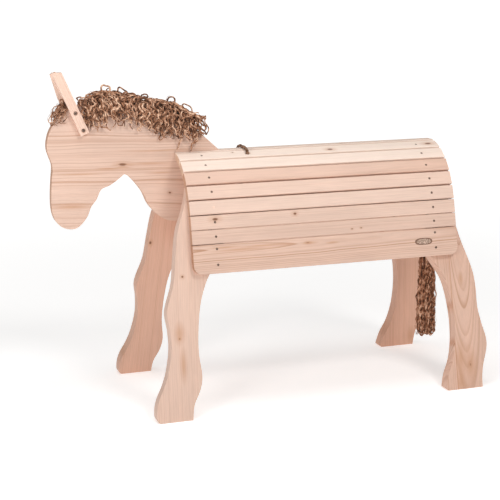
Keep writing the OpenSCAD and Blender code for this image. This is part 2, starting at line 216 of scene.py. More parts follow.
def finish_tree(t, geometry, material, smooth=True):
    """Ends a tree: smooth faces, real geometry, and its material."""
    if smooth:
        geometry = t.add("GeometryNodeSetShadeSmooth", inputs={"Geometry": geometry})
    real = t.add("GeometryNodeRealizeInstances", inputs={"Geometry": geometry})
    painted = t.add("GeometryNodeSetMaterial", inputs={"Geometry": real, "Material": material})
    t.tree.links.new(painted, t.tree.nodes.new("NodeGroupOutput").inputs[0])
    return t.tree


def applied(source, name):
    """The source's mesh with its modifiers run; the source itself goes."""
    graph = bpy.context.evaluated_depsgraph_get()
    mesh = bpy.data.meshes.new_from_object(source.evaluated_get(graph))
    source.modifiers.clear()
    bpy.data.objects.remove(source)
    mesh.name = name
    return mesh


def new_piece(name, mesh, body):
    """The mesh as a piece that rides on a body."""
    piece = shown(name, mesh)
    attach(piece, body)
    return piece


def grown(name, source, tree, sizes, body):
    """Runs the tree on the source object and keeps the result as a plain mesh."""
    modifier = source.modifiers.new("grow", "NODES")
    modifier.node_group = tree
    for item in tree.interface.items_tree:
        if item.in_out == "INPUT" and item.name in sizes:
            modifier[item.identifier] = sizes[item.name]
    return new_piece(name, applied(source, name), body)


def lines(name, routes):
    """A curve object with one open line through each route's points."""
    curve = bpy.data.curves.new(name, "CURVE")
    curve.dimensions = "3D"
    for route in routes:
        spline = curve.splines.new("POLY")
        spline.points.add(len(route) - 1)
        spline.points.foreach_set("co", [c for p in route for c in (*p, 1)])
    return shown(name, curve)


def eased_line(points, steps=6):
    """A smooth line through the points, with so many steps to each span."""
    p = [Vector(q) for q in points]
    line = []
    for i in range(len(p) - 1):
        a, b, c, d = p[max(0, i - 1)], p[i], p[i + 1], p[min(len(p) - 1, i + 2)]
        for j in range(steps):
            t = j / steps
            line.append(0.5 * (2 * b + (c - a) * t + (2 * a - 5 * b + 4 * c - d) * t * t
                               + (3 * b - a - 3 * c + d) * t ** 3))
    return line + [p[-1]]


def around_line(t, phase, reach):
    """An offset from a curve's line, turning round it with the phase."""
    normal = t.add("GeometryNodeInputNormal")
    tangent = t.add("GeometryNodeInputTangent")
    side = t.vector("CROSS_PRODUCT", tangent, normal)
    one = t.vector("SCALE", normal, scale=t.math("COSINE", phase))
    two = t.vector("SCALE", side, scale=t.math("SINE", phase))
    return t.vector("SCALE", t.vector("ADD", one, two), scale=reach)


def rope_tree():
    """Strands laid round a line, three to a rope."""
    t, size = shape_tree("laid_rope", {"Rope Diameter": 0.009, "Lay Length": 0.027,
                                       "Strands": 3})
    line = t.add("GeometryNodeResampleCurve", mode="LENGTH", inputs={
        "Curve": size["Geometry"], "Length": t.math("DIVIDE", size["Lay Length"], 14.0)})
    several = t.add("GeometryNodeDuplicateElements", None, domain="SPLINE",
                    inputs={"Geometry": line, "Amount": size["Strands"]})
    along = t.math("DIVIDE", t.add("GeometryNodeSplineParameter", "Length"), size["Lay Length"])
    turn = t.math("ADD", along, t.math("DIVIDE", several.outputs[1], size["Strands"]))
    offset = around_line(t, t.times(turn, math.tau), t.times(size["Rope Diameter"], 0.262))
    laid = t.add("GeometryNodeSetPosition", inputs={
        "Geometry": several.outputs[0], "Offset": offset})
    section = t.add("GeometryNodeCurvePrimitiveCircle", inputs={
        "Resolution": 8, "Radius": t.times(size["Rope Diameter"], 0.236)})
    swept = t.add("GeometryNodeCurveToMesh", inputs={
        "Curve": laid, "Profile Curve": section, "Fill Caps": True})
    return finish_tree(t, swept, size["Finish"])


def fibre_finish(name, shadow, body_tone, light, patch=70, streak=1500):
    """Coarse plant fibre: fine bright and dark hairs over slow colour patches."""
    material, t, shader = new_material(name)
    place = t.add("ShaderNodeTexCoord", "Object")
    slow = t.noise(place, patch, 2)
    fine = t.noise(place, streak, 3, 0.7)
    mixed = t.times(fine, 0.50, t.times(slow, 0.95, -0.15))
    t.feed(shader, {
        "Base Color": t.ramp(mixed, (0.38, shadow), (0.57, body_tone), (0.80, light)),
        "Roughness": t.times(fine, 0.15, 0.8), "Specular IOR Level": 0.2,
        "Sheen Weight": 0.15, "Normal": t.bump(fine, 0.7, 0.0005)})
    return material


ROPE_DIAMETER = 0.009
ROPE_LAY = 0.026
rope_finish = fibre_finish("brown_rope", (0.05, 0.022, 0.011), (0.20, 0.10, 0.055),
                           (0.46, 0.28, 0.18))
rope_shape = rope_tree()

grip_low, grip_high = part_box("grip_rope")
grip_x = (grip_low.x + grip_high.x) / 2
grip_half = [(0.0362, 0.6740), (0.0425, 0.6903), (0.0464, 0.7006), (0.0450, 0.7081),
             (0.0366, 0.7113), (0.0185, 0.7158), (0.0068, 0.7148)]
grip_route = eased_line([(grip_x, y, z) for y, z in grip_half]
                        + [(grip_x, -y, z) for y, z in reversed(grip_half)])


def laid_rope(name, route, diameter, lay, body, strands=3):
    """A rope along the route, as a piece."""
    return grown(name, lines(name + "_line", [route]), rope_shape,
                 {"Rope Diameter": diameter, "Lay Length": lay, "Strands": strands,
                  "Finish": rope_finish}, body)


grip = laid_rope("grip_rope_laid", grip_route, ROPE_DIAMETER, ROPE_LAY, "horse")


def stopper_knot(name, at, radius, body):
    """An overhand knot pulled tight: one rope passing round itself."""
    route = []
    for i in range(49):
        a = math.tau * i / 48
        route.append((at[0] + radius * 0.5 * (math.sin(a) + 0.9 * math.sin(2 * a)),
                      at[1] + radius * 0.5 * (math.cos(a) - 0.9 * math.cos(2 * a)),
                      at[2] - radius * 0.5 * math.sin(3 * a)))
    return laid_rope(name, route, radius * 0.86, ROPE_LAY, body)


KNOT_RADIUS = 0.0094
knot_y, knot_z = grip_half[0]
grip_knots = [stopper_knot(f"grip_knot_{name}", (grip_x, side * knot_y, knot_z), KNOT_RADIUS,
                           "horse") for name, side in (("left", 1), ("right", -1))]
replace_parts(grip, "grip_rope")

# ----------------------------------------
# Tail cord. The same rope through the rear bulkhead, knotted inside, with an
# eye spliced in its outer end for the tail's strands to hang in.
tail_sway, tail_lift = (next(j for j in frame["joints"] if j["name"] == name)
                        for name in ("tail_sway", "tail_lift"))
EYE_RADIUS = 0.016
eye_x, eye_z = tail_lift["pos_m"][0], tail_lift["pos_m"][2]
cord_z = tail_sway["pos_m"][2]
inner_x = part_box("rear_bulkhead")[1].x
cord_route = eased_line([(inner_x + 0.012, 0, cord_z), (inner_x - 0.02, 0, cord_z),
                         (eye_x + 0.03, 0, cord_z), (eye_x + 0.016, 0, cord_z - 0.001),
                         (eye_x + 0.002, 0, cord_z - 0.0022)])
eye_route = [(eye_x + EYE_RADIUS * math.sin(math.tau * i / 40), 0,
              eye_z + EYE_RADIUS * math.cos(math.tau * i / 40)) for i in range(41)]
whipping_route = [(eye_x + 0.011 + 0.012 * i / 72, 0.0050 * math.sin(math.tau * i / 12),
                   cord_z - 0.0008 + 0.0050 * math.cos(math.tau * i / 12)) for i in range(73)]
cord = laid_rope("tail_cord_laid", cord_route, ROPE_DIAMETER, ROPE_LAY, "tail_loop")
laid_rope("tail_cord_eye", eye_route, ROPE_DIAMETER, math.tau * EYE_RADIUS / 4, "tail_loop")
laid_rope("tail_cord_whipping", whipping_route, 0.0019, 0.006, "tail_loop", strands=2)
stopper_knot("tail_cord_knot", (inner_x + 0.0105, 0, cord_z), 0.0095, "tail_loop")
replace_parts(cord, "tail_cord")

# ----------------------------------------
# Side boards. One wide planed pine board closes each side of the barrel; its
# lower corners are rounded, and broad flame grain with small knots shows.
EARLY_WOOD = (0.80, 0.570, 0.462)
LATE_WOOD = (0.50, 0.262, 0.158)
KNOT_WOOD = (0.17, 0.062, 0.028)
RESIN_STAIN = (0.56, 0.29, 0.165)
# The pale colour is partly pale board and partly painted highlight, where raised paleness whitens
# the upper slats.
PALE_AND_LIT_WOOD = (0.87, 0.74, 0.65)


def pine(name, pith, grain=(1, 0, 0), ring=0.0042, contrast=0.5, wander=0.005, tone=1.0,
         knots=(), stains=(), shift=0.0, drift=1.3, face=(0, 1, 0), pale_and_painted_light=0.0, seam=None):
    """Planed pine: growth rings about the pith line, which runs along the grain.

    Knots run through the board along its face's outward direction. A seam is the
    x of a glued joint; ahead of it the wood is from another board.
    """
    g = Vector(grain).normalized()
    a = g.cross(Vector((0, 1, 0))).normalized() if abs(g.y) < 0.9 else Vector((0, 0, 1))
    turn = Matrix((g, a, g.cross(a)))
    material, t, shader = new_material(name)
    coordinates = t.add("ShaderNodeTexCoord", None)
    placed = t.add("ShaderNodeMapping", inputs={
        "Vector": coordinates.outputs["Object"], "Rotation": turn.to_euler("XYZ"),
        "Location": -(turn @ Vector(pith))})
    if seam is not None:
        forward = t.add("ShaderNodeSeparateXYZ", 0, {0: coordinates.outputs["Object"]})
        ahead = t.combine(*(t.math("GREATER_THAN", forward, seam) for _ in range(3)))
        placed = t.vector("MULTIPLY_ADD", ahead, (0.4, 0.13, 0.05), placed)
    # The log is never quite straight: rings wander slowly along the grain.
    slow = t.add("ShaderNodeTexNoise", "Color", {
        "Vector": t.vector("MULTIPLY_ADD", placed, (drift, 9, 9)), "Scale": 1.0,
        "Detail": 2.0, "Roughness": 0.45}, noise_dimensions="4D")
    slow.node.inputs["W"].default_value = shift
    bent = t.vector("ADD", placed, t.vector("MULTIPLY", t.vector(
        "SUBTRACT", slow, (0.5, 0.5, 0.5)), (0, 2 * wander, 2 * wander)))
    radius = t.vector("LENGTH", t.vector("MULTIPLY", bent, (0, 1, 1)), out="Value")
    # Knots run outwards from the pith; the rings bow round each of them.
    outward = turn @ Vector(face)
    knots = [(size, knot_distance(t, bent, turn @ (Vector(place) - Vector(pith)), outward,
                                  size, stretch)) for place, size, stretch in knots]
    stains = [knot_distance(t, bent, turn @ (Vector(place) - Vector(pith)), outward,
                            size, stretch) for place, size, stretch in stains]
    for size, distance in knots:
        bow = t.math("EXPONENT", t.times(t.times(distance, distance), -0.22))
        radius = t.times(bow, size * 1.5, radius)
    rings = ring_lines(t, radius, ring)
    fibre = t.noise(t.vector("MULTIPLY", bent, (14, 620, 620)), 1.0, 3.0, 0.65)
    cloud = t.noise(t.vector("MULTIPLY", placed, (5, 22, 22)), 1.0, 2.0)
    # The paleness setting is partly the board's own tone and partly painted light: raised, it
    # whitens the wood as a painted highlight; lowered, it darkens it as painted shade.
    early = [tone * (e + (p - e) * pale_and_painted_light) for e, p in zip(EARLY_WOOD, PALE_AND_LIT_WOOD)]
    late = [w + (e - w) * 0.4 * pale_and_painted_light for w, e in zip(LATE_WOOD, EARLY_WOOD)]
    colour = blended(t, t.times(rings, contrast, clamp=True), (*early, 1), (*late, 1))
    flecks = t.times(fibre, 0.34, 0.83)
    clouds = t.times(cloud, 0.20, 0.90)
    grey = t.add("ShaderNodeCombineColor", inputs={
        i: t.times(flecks, clouds) for i in range(3)})
    colour = blended(t, 1.0, colour, grey, "MULTIPLY")
    for _, distance in knots:
        halo = t.graded(distance, 1.0, 3.2, 0.42, 0)
        colour = blended(t, halo, colour, (*RESIN_STAIN, 1))
        heart = t.math("SUBTRACT", 1.0, t.graded(distance, 0.55, 1.15, 0.0, 1.0))
        speckled = t.times(heart, t.times(fibre, 0.5, 0.62), clamp=True)
        colour = blended(t, speckled, colour, (*KNOT_WOOD, 1))
    for distance in stains:
        halo = t.graded(distance, 0.2, 1.2, 0.6, 0)
        colour = blended(t, halo, colour, (*RESIN_STAIN, 1))
    if seam is not None:
        away = t.math("ABSOLUTE", t.math("SUBTRACT", forward, seam))
        glue = t.graded(away, 0.0005, 0.0022, 0.7, 0)
        colour = blended(t, glue, colour, (0.80, 0.62, 0.50, 1), "MULTIPLY")
    # Sawn ends across the grain soak up more oil and look darker.
    across = t.math("ABSOLUTE", t.vector("DOT_PRODUCT", coordinates.outputs["Normal"],
                                         tuple(g), out="Value"))
    colour = blended(t, t.graded(across, 0.35, 0.95, 0.0, 1.0), colour,
                     (0.80, 0.66, 0.55, 1), "MULTIPLY")
    height = t.times(rings, 0.7, t.times(fibre, 0.5))
    t.feed(shader, {
        "Base Color": colour, "Specular IOR Level": 0.32, "Normal": t.bump(height, 0.35, 0.0004),
        "Roughness": t.times(rings, -0.14, t.times(fibre, 0.16, 0.50))})
    return material


def knot_distance(t, bent, centre, outward, size, stretch):
    """How far a place lies from a knot's axis, counted in the knot's own sizes."""
    outward = Vector((0, outward.y, outward.z)).normalized()
    apart = t.vector("SUBTRACT", bent, tuple(centre))
    return t.vector("LENGTH", t.combine(
        t.vector("DOT_PRODUCT", apart, (1 / (size * stretch), 0, 0), out="Value"),
        t.vector("DOT_PRODUCT", apart, (0, outward.z / size, -outward.y / size), out="Value")),
        out="Value")


def ring_lines(t, radius, ring):
    """Growth rings round the pith, of uneven width and each year's own darkness."""
    uneven = t.add("ShaderNodeTexNoise", "Fac", {
        "W": t.times(radius, 80.0), "Scale": 1.0, "Detail": 1.0}, noise_dimensions="1D")
    count = t.math("DIVIDE", t.times(uneven, ring * 2.2, radius), ring)
    dark = t.ramp(t.math("FRACT", count), (0.25, (0, 0, 0)), (0.86, (1, 1, 1)),
                  (0.99, (0, 0, 0)), easing="EASE")
    year = t.add("ShaderNodeTexWhiteNoise", "Value", {
        "W": t.math("FLOOR", count)}, noise_dimensions="1D")
    return t.times(dark, t.times(t.math("POWER", year, 2.0), 0.85, 0.18))


def blended(t, amount, colour, other, way="MIX"):
    """The colour mixed towards another or multiplied by it, by the amount."""
    return t.add("ShaderNodeMix", 2, {0: amount, 6: colour, 7: other}, data_type="RGBA",
                 blend_type=way)


def finished(node, material):
    """Gives a CAD node its material."""
    mesh = frame["nodes"][node].data
    mesh.materials.clear()
    mesh.materials.append(material)


finished("side_board_left", pine(
    "side_board_left_pine", (0.10, 0.1765, 0.4565), grain=(1, 0.022, 0.004), ring=0.0056,
    contrast=0.95, wander=0.0045, tone=0.92, pale_and_painted_light=-0.10, drift=5.0, shift=2.4,
    face=(0, 0.978, 0.208), knots=[((-0.076, 0.186, 0.460), 0.0016, 3.0)],
    stains=[((-0.080, 0.186, 0.459), 0.0055, 5.0), ((-0.150, 0.188, 0.455), 0.0042, 5.0),
            ((0.120, 0.186, 0.4535), 0.0046, 20.0), ((0.06, 0.186, 0.4600), 0.0034, 24.0),
            ((0.170, 0.186, 0.4625), 0.0040, 12.0)]))
finished("side_board_right", pine(
    "side_board_right_pine", (0, -0.120, 0.445), ring=0.0055, contrast=0.55, wander=0.008,
    tone=0.97, drift=1.8, shift=7.9, knots=[((0.110, -0.186, 0.440), 0.0060, 1.8)]))

# ----------------------------------------
# Slats. Fifteen narrow planed pine slats with eased outer edges, each cut
# from a different board, so that tone and grain change from one to the next.
# The upper slats are also painted paler and brighter, a painted highlight
# of the light from above.
SLAT_LOOKS = {  # tone, contrast, pith towards the ridge and outwards, paleness with painted light
    "slat_left_7": (1.08, 0.20, 0.10, -0.06, 0.9),
    "slat_left_6": (1.07, 0.20, -0.16, -0.03, 0.8),
    "slat_left_5": (0.96, 0.66, 0.05, -0.12, -0.1),
    "slat_left_4": (0.97, 0.20, 0.22, -0.04, 0.1),
    "slat_left_3": (0.97, 0.18, -0.20, -0.07, 0.2),
    "slat_left_2": (0.94, 0.36, 0.10, -0.05, 0.1),
    "slat_left_1": (0.90, 0.44, -0.07, -0.06, 0.0),
    "slat_right_1": (0.94, 0.40, 0.08, -0.05, 0.0),
    "slat_right_2": (0.96, 0.30, -0.12, -0.05, 0.2),
    "slat_right_3": (0.98, 0.25, 0.06, -0.14, 0.4),
    "slat_right_4": (0.95, 0.45, 0.15, -0.04, 0.1),
    "slat_right_5": (1.0, 0.22, -0.06, -0.05, 0.5),
    "slat_right_6": (0.97, 0.38, 0.12, -0.08, 0.2),
    "slat_right_7": (1.0, 0.24, -0.10, -0.05, 0.6),
    "ridge_slat": (1.0, 0.26, 0.09, -0.07, 0.7)}
BARREL_AXIS_Z = 0.45
SLAT_KNOTS = {
    "slat_left_2": [((-0.044, 0.169, 0.540), 0.0032, 1.5), ((0.190, 0.169, 0.539), 0.0042, 2.0)],
    "slat_left_1": [((-0.213, 0.180, 0.488), 0.0016, 1.6), ((-0.241, 0.180, 0.489), 0.0016, 1.6)],
    "slat_left_7": [((-0.196, 0.051, 0.700), 0.0040, 2.2), ((-0.510, 0.047, 0.701), 0.0042, 2.4),
                    ((0.097, 0.040, 0.704), 0.0014, 2.0)],
    "slat_right_3": [((0.02, -0.160, 0.573), 0.0050, 1.5)],
    "slat_right_5": [((-0.30, -0.116, 0.648), 0.0045, 1.8)],
    "ridge_slat": [((-0.25, 0.002, 0.710), 0.0030, 2.0)]}
for number, (node, (tone, contrast, offset, depth, pale_and_painted_light)) in enumerate(SLAT_LOOKS.items()):
    low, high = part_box(node)
    heart = (low + high) / 2
    # Outward runs from the barrel's axis to the slat; towards the ridge is across it.
    outward = Vector((0, heart.y, heart.z - BARREL_AXIS_Z)).normalized()
    ridgeward = Vector((0, -outward.z, outward.y))
    pith = heart + ridgeward * offset + outward * depth
    finished(node, pine(node + "_pine", pith, ring=0.0034 + 0.0004 * (number % 4),
                        contrast=contrast, wander=0.005, tone=tone, shift=number * 1.7,
                        knots=SLAT_KNOTS.get(node, ()), face=outward, pale_and_painted_light=pale_and_painted_light))

# ----------------------------------------
# Bulkheads. Two thick boards across the barrel, sawn to its arch, that every
# slat is screwed to. They show only from the ends and from below.
for number, node in enumerate(("front_bulkhead", "rear_bulkhead")):
    finished(node, pine(node + "_pine", (0.0, 0.02 + 0.05 * number, 0.30),
                        grain=(0, 1, 0), ring=0.0048, contrast=0.5, wander=0.008, tone=0.97,
                        shift=20 + number, face=(1, 0, 0),
                        knots=[((0.0, 0.05 - 0.11 * number, 0.47), 0.009, 1.2)]))

# ----------------------------------------
# Legs. Four boards sawn to one front and one rear outline, splayed with the
# side boards, edges rounded over with a router; grain runs down the leg.
LEG_SPLAY = math.radians(12)
EASED_EDGE = 0.0022
MERGED = 1e-5
FLAT, SHARP, CREASED = math.radians(0.6), math.radians(28), math.radians(24)


def eased_board(node, material, width):
    """A copy of a CAD board with its sawn edges rounded over."""
    mesh = frame["nodes"][node].data.copy()
    work = bmesh.new()
    work.from_mesh(mesh)
    bmesh.ops.remove_doubles(work, verts=work.verts, dist=MERGED)
    bmesh.ops.dissolve_limit(work, angle_limit=FLAT, verts=work.verts, edges=work.edges)
    work.to_mesh(mesh)
    work.free()
    mesh.materials.clear()
    mesh.materials.append(material)
    for face in mesh.polygons:
        face.material_index = 0
        face.use_smooth = False
    if mesh.attributes.get("custom_normal"):
        mesh.attributes.remove(mesh.attributes["custom_normal"])
    draft = shown(node + "_draft", mesh)
    bevel = draft.modifiers.new("ease", "BEVEL")
    for key, value in (("width", width), ("segments", 3), ("limit_method", "ANGLE"),
                       ("angle_limit", SHARP), ("use_clamp_overlap", True),
                       ("harden_normals", False)):
        setattr(bevel, key, value)
    final = applied(draft, node + "_eased")
    for face in final.polygons:
        face.use_smooth = True
    final.set_sharp_from_angle(angle=CREASED)
    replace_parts(new_piece(node + "_eased", final, "horse"), node)


def leg_grain(side, rake, dive):
    """Up-grain direction of a leg: splayed, raked, and diving towards its outer face."""
    c, s = math.cos(LEG_SPLAY), math.sin(LEG_SPLAY)
    return Vector((rake, side * (dive * c - s), c + dive * s))


# On the right legs the low paleness is painted shade. It darkens their inner faces, which lie in
# the barrel's shadow.
LEG_LOOKS = {  # rake, dive, pith, ring, contrast, tone, paleness with painted shade, knots, stains
    "front_leg_left": (-0.05, 0.02, (0.43, 0.26, 0.30), 0.0055, 0.36, 0.94, 0.0,
                       [((0.310, 0.216, 0.222), 0.0022, 1.2),
                        ((0.290, 0.181, 0.388), 0.0030, 1.0)],
                       [((0.309, 0.210, 0.235), 0.016, 2.0), ((0.306, 0.230, 0.15), 0.010, 5.0)]),
    "front_leg_right": (-0.08, 0.0, (0.15, -0.30, 0.30), 0.0050, 0.40, 0.97, -0.6,
                        [((0.303, -0.137, 0.424), 0.0040, 1.3),
                         ((0.366, -0.190, 0.150), 0.004, 1.6)],
                        [((0.376, -0.205, 0.085), 0.007, 4.0)]),
    "rear_leg_left": (0.0, 0.11, (-0.556, 0.1838, 0.192), 0.0064, 0.62, 0.96, -0.30,
                      [((-0.566, 0.249, 0.068), 0.0020, 2.0)],
                      [((-0.552, 0.196, 0.319), 0.0085, 2.6),
                       ((-0.566, 0.249, 0.066), 0.022, 2.4),
                       ((-0.536, 0.243, 0.090), 0.016, 3.4),
                       ((-0.530, 0.258, 0.02), 0.020, 2.0)]),
    "rear_leg_right": (0.10, 0.0, (-0.40, -0.28, 0.30), 0.0050, 0.40, 0.96, -0.75,
                       [], [((-0.590, -0.255, 0.040), 0.014, 2.5)])}
REAR_SEAM = -0.520
for number, (node, look) in enumerate(LEG_LOOKS.items()):
    rake, dive, pith, ring, contrast, tone, pale_and_painted_light, knots, stains = look
    side = 1 if node.endswith("left") else -1
    eased_board(node, pine(node + "_pine", pith, grain=leg_grain(side, rake, dive), ring=ring,
                           contrast=contrast, wander=0.007, tone=tone, pale_and_painted_light=pale_and_painted_light, knots=knots,
                           stains=stains, shift=30 + 3.1 * number, drift=2.2,
                           seam=REAR_SEAM if node == "rear_leg_left" else None,
                           face=(0, side * math.cos(LEG_SPLAY), math.sin(LEG_SPLAY))), EASED_EDGE)

# ----------------------------------------
# Head board. One flat board for head, neck and breast, sawn to a smooth
# outline; the grain runs from nose to withers, with one knot at the cheek.
eased_board("head_board", pine(
    "head_board_pine", (0.30, -0.020, 0.80), grain=(1, 0, 0.03), ring=0.0095, contrast=0.80,
    wander=0.016, tone=0.96, shift=11.3, drift=2.4,
    knots=[((0.411, 0.014, 0.685), 0.0046, 2.6), ((0.277, 0.014, 0.595), 0.0022, 1.6)],
    stains=[((0.560, 0.014, 0.568), 0.009, 7.0), ((0.30, 0.014, 0.721), 0.0035, 40.0),
            ((0.335, 0.014, 0.6835), 0.0060, 13.0), ((0.535, 0.014, 0.6605), 0.0035, 22.0),
            ((0.455, 0.014, 0.6740), 0.0040, 9.0), ((0.30, 0.014, 0.652), 0.0040, 12.0)]),
    EASED_EDGE)

# ----------------------------------------
# Ears. Two short strips with one corner sawn off at the tip, each screwed to
# its side of the head board in two drilled recesses.
EAR_LEAN = math.radians(23)
for number, node in enumerate(("ear_left", "ear_right")):
    low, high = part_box(node)
    eased_board(node, pine(node + "_pine", (low + high) / 2 + Vector((0.05, 0.03, -0.02)),
                           grain=(math.sin(EAR_LEAN), 0, math.cos(EAR_LEAN)), ring=0.0045,
                           contrast=0.25, wander=0.003, tone=1.04, shift=50 + number), 0.0012)

# ----------------------------------------
# Screws. Countersunk cross-head screws of dull zinced steel, one kind for the
# slats and boards, a shorter one in the ears' recesses and a long one for the
# legs. Each is driven a little below the wood's surface.
steel, zinc, steel_shader = new_material("dull_zinc")
tarnish = zinc.noise(zinc.add("ShaderNodeTexCoord", "Object"), 520, 3)
zinc.feed(steel_shader, {
    "Base Color": zinc.ramp(tarnish, (0.35, (0.12, 0.070, 0.048)), (0.7, (0.42, 0.31, 0.25))),
    "Roughness": zinc.times(tarnish, 0.3, 0.35), "Metallic": 0.6,
    "Normal": zinc.bump(tarnish, 0.4, 0.0002)})


def middle(points):
    return sum(points, Vector()) / len(points)


def screw_places(node):
    """Each screw of a CAD node: head centre, outward axis, and its four sizes."""
    work = bmesh.new()
    work.from_mesh(frame["nodes"][node].data)
    bmesh.ops.remove_doubles(work, verts=work.verts, dist=1e-6)
    left, found = set(work.verts), []
    while left:
        island, edge = set(), [next(iter(left))]
        while edge:
            vertex = edge.pop()
            if vertex in island:
                continue
            island.add(vertex)
            edge.extend(e.other_vert(vertex) for e in vertex.link_edges)
        left -= island
        found.append([v.co.copy() for v in island])
    work.free()
    places = []
    for points in found:
        centre = middle(points)
        far = max(points, key=lambda p: (p - centre).length)
        tip = max(points, key=lambda p: (p - far).length)
        axis = (far - tip).normalized()
        for _ in range(8):  # the line through both ends' middles
            along = [p.dot(axis) for p in points]
            top = [p for p, a in zip(points, along) if a > max(along) - 0.0006]
            low = [p for p, a in zip(points, along) if a < min(along) + 0.0006]
            axis = (middle(top) - middle(low)).normalized()
        top_middle, low_middle = middle(top), middle(low)
        head = max((p - top_middle).length for p in top)
        end = max((p - low_middle).length for p in low)
        if end > head:
            axis, top_middle, low_middle, head, end = -axis, low_middle, top_middle, end, head
        places.append((top_middle, axis, head, end, (top_middle - low_middle).length))
    return sorted(places, key=lambda p: tuple(round(c, 4) for c in p[0]))


def screw_tree():
    """Cross-head screws on points; each point's axis attribute is outward."""
    t, size = shape_tree("screws", {"Head Diameter": 0.007, "Head Height": 0.003,
                                    "Shank Diameter": 0.004, "Length": 0.048, "Seed": 1})

    def sunk(geometry, depth):
        return t.add("GeometryNodeTransform", inputs={
            "Geometry": geometry, "Translation": t.combine(0, 0, t.times(depth, -1.0))})

    half = t.times(size["Head Diameter"], 0.5)
    shank = t.times(size["Shank Diameter"], 0.5)
    head = t.add("GeometryNodeMeshCone", "Mesh", {
        "Vertices": 20, "Radius Top": half, "Radius Bottom": shank,
        "Depth": size["Head Height"]})
    slot_size = t.times(size["Head Diameter"], 0.62)
    slot_width = t.times(size["Head Diameter"], 0.17)
    slot_depth = t.times(size["Head Height"], 1.2)
    cut = t.add("GeometryNodeMeshBoolean", None, operation="DIFFERENCE",
                inputs={"Mesh 1": sunk(head, size["Head Height"])})
    for a, b in ((slot_size, slot_width), (slot_width, slot_size)):
        t.feed(cut, {"Mesh 2": t.add("GeometryNodeMeshCube", "Mesh", {
            "Size": t.combine(a, b, slot_depth)})})
    rod_length = t.math("SUBTRACT", size["Length"], size["Head Height"])
    rod = t.add("GeometryNodeMeshCone", "Mesh", {
        "Vertices": 12, "Radius Top": shank, "Radius Bottom": t.times(shank, 0.55),
        "Depth": rod_length})
    whole = t.add("GeometryNodeJoinGeometry", None)
    for part in (sunk(rod, size["Length"]), cut.outputs[0]):
        t.tree.links.new(part, whole.inputs[0])
    axis = t.add("GeometryNodeInputNamedAttribute", "Attribute", {"Name": "axis"},
                 data_type="FLOAT_VECTOR")
    stand = t.add("FunctionNodeAlignRotationToVector", inputs={"Vector": axis}, axis="Z")
    spin = t.add("FunctionNodeRandomValue", "Value", {"Min": 0.0, "Max": 1.5,
                                                      "Seed": size["Seed"]}, data_type="FLOAT")
    spin_turn = t.add("FunctionNodeAxisAngleToRotation", inputs={
        "Axis": (0, 0, 1), "Angle": spin})
    turned = t.add("FunctionNodeRotateRotation", inputs={"Rotation": stand,
                                                         "Rotate By": spin_turn},
                   rotation_space="LOCAL")
    placed = t.add("GeometryNodeInstanceOnPoints", inputs={
        "Points": size["Geometry"], "Instance": whole.outputs[0], "Rotation": turned})
    return finish_tree(t, placed, size["Finish"], smooth=False)


screw_shape = screw_tree()
SCREW_HEAD_HEIGHTS = {"slat_screws_front": 0.003, "slat_screws_rear": 0.003,
                      "side_board_screws": 0.003, "ear_screws": 0.002, "leg_screws": 0.005}
screws_at = {}
for number, (node, head_height) in enumerate(SCREW_HEAD_HEIGHTS.items()):
    screws_at[node] = places = screw_places(node)
    points = bpy.data.meshes.new(node + "_points")
    points.from_pydata([tuple(p[0]) for p in places], [], [])
    points.attributes.new("axis", "FLOAT_VECTOR", "POINT").data.foreach_set(
        "vector", [c for p in places for c in p[1]])
    _, _, head, end, length = places[0]
    piece = grown(node + "_driven", shown(node + "_points", points), screw_shape,
                  {"Head Diameter": 2 * head, "Head Height": head_height,
                   "Shank Diameter": 2 * end, "Length": length, "Seed": number,
                   "Finish": steel}, "horse")
    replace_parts(piece, node)

# ----------------------------------------
# Filler and mark. One screw of the third slat is filled level with pale wood
# filler, and a blank oval badge is pressed on the rear of the left side board.


def disc(name, at, outward, half_long, half_short, rings, material, sides=40, power=2.0):
    """A closed, slightly raised oval button: rings are (share of its size, height)."""
    outward = outward.normalized()
    long_way = Vector((1, 0, 0))
    short_way = outward.cross(long_way).normalized()
    work = bmesh.new()
    loops = []
    for share, height in rings:
        loop = []
        for i in range(sides):
            a = math.tau * i / sides
            c, b = math.cos(a), math.sin(a)
            x = math.copysign(abs(c) ** (2 / power), c) * half_long * share
            y = math.copysign(abs(b) ** (2 / power), b) * half_short * share
            loop.append(work.verts.new(at + long_way * x + short_way * y + outward * height))
        loops.append(loop)
    for low, high in zip(loops, loops[1:]):
        for i in range(sides):
            j = (i + 1) % sides
            work.faces.new((low[i], low[j], high[j], high[i]))
    work.faces.new(loops[-1])
    work.faces.new(list(reversed(loops[0])))
    bmesh.ops.recalc_face_normals(work, faces=work.faces)
    mesh = bpy.data.meshes.new(name)
    work.to_mesh(mesh)
    work.free()
    mesh.materials.append(material)
    for face in mesh.polygons:
        face.use_smooth = len(face.vertices) == 4
    mesh.set_sharp_from_angle(angle=math.radians(40))
    new_piece(name, mesh, "horse")


filler_place = min(screws_at["slat_screws_front"],
                   key=lambda p: (p[0] - Vector((0.191, 0.172, 0.568))).length)
disc("filler_plug", filler_place[0], filler_place[1], 0.0040, 0.0040,
     ((1.0, 0.0001), (1.0, 0.0009), (0.85, 0.0013), (0.4, 0.0015)),
     pine("filler_paste", (0.2, 0.1, 0.5), contrast=0.1, ring=0.002, tone=1.16, shift=70),
     sides=24)

